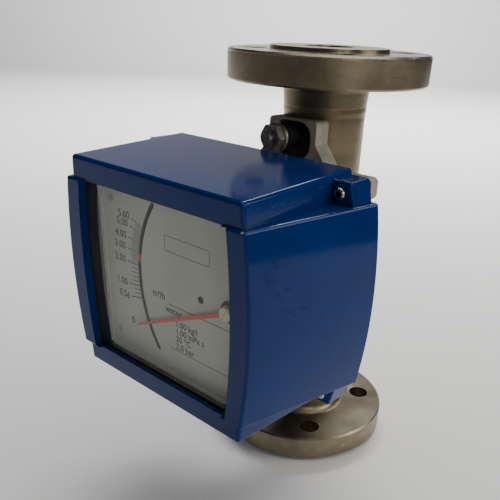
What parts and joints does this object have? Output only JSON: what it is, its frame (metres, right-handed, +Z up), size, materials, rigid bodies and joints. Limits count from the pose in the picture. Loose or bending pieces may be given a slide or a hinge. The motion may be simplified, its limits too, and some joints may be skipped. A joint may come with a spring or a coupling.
{
  "type": "variable area flow meter",
  "caption": "Flanged metal-tube variable area flow meter with a boxed dial indicator; a magnet in the float turns the red pointer across the dial.",
  "frame": {"origin": "centre of the lower flange's sealing face, on the tube axis", "axes": "+Z up along the tube towards the upper flange; the dial faces -Y; +X to the right of someone reading the dial"},
  "size_m": [0.1654, 0.1934, 0.25],
  "materials": {
    "stainless": "satin turned stainless steel with a warm grey tone and light wear",
    "magnet": "bare ground magnet",
    "grey_casting": "light beige-grey painted casting",
    "blue_casting": "glossy dark royal blue paint on an aluminium casting",
    "dark_steel": "dark oxidised steel",
    "bright_steel": "bright zinc-plated steel",
    "black_rubber": "matte black rubber",
    "glass": "clear flat pane",
    "dial_paint": "matte off-white paint on thin sheet",
    "sheet_aluminium": "plain mill finish",
    "brass": "turned brass",
    "ivory_plastic": "ivory moulded plastic",
    "red_paint": "matte signal red paint on thin sheet"
  },
  "bodies": {
    "meter": {"lower_flange": "stainless", "upper_flange": "stainless", "measuring_tube": "stainless", "lower_guide": "stainless", "lower_guide_ring": "stainless", "upper_guide": "stainless", "upper_guide_ring": "stainless", "indicator_base": "grey_casting", "mounting_studs": "dark_steel", "rubber_buffers": "black_rubber", "buffer_washers": "dark_steel", "mounting_nuts": "dark_steel", "front_cover": "blue_casting", "cover_screws": "bright_steel", "cover_gasket": "black_rubber", "window_glass": "glass", "window_gasket": "black_rubber", "retainer_strips": "sheet_aluminium", "retainer_screws": "bright_steel", "dial_plate": "dial_paint", "dial_posts": "sheet_aluminium", "dial_screws": "bright_steel", "bearing_bracket": "sheet_aluminium", "bracket_screws": "bright_steel", "front_bearing": "brass", "rear_bearing": "brass"},
    "float": {"float_body": "stainless", "float_magnet": "magnet", "float_rod": "stainless"},
    "pointer_set": {"pointer_shaft": "bright_steel", "pointer_hub": "ivory_plastic", "pointer": "red_paint", "follower_arm": "sheet_aluminium", "magnet_post": "sheet_aluminium", "follower_magnet": "magnet", "counterweight": "brass"},
    "limit": {"limit_arm": "sheet_aluminium", "limit_marker": "red_paint"}
  },
  "joints": [
    {"name": "float_slide", "type": "slide", "parent": "meter", "child": "float", "axis": [0, 0, 1], "range_m": [0, 0.036]},
    {"name": "pointer_turn", "type": "hinge", "parent": "meter", "child": "pointer_set", "pos_m": [0.043, -0.109, 0.139], "axis": [0, 1, 0], "range_deg": [0, 50]},
    {"name": "limit_turn", "type": "hinge", "parent": "meter", "child": "limit", "pos_m": [0.043, -0.111, 0.139], "axis": [0, 1, 0], "range_deg": [-42, 26.5]}
  ],
  "couplings": [
    {"joint": "pointer_turn", "follows": "float_slide", "rad_per_m": 24}
  ]
}
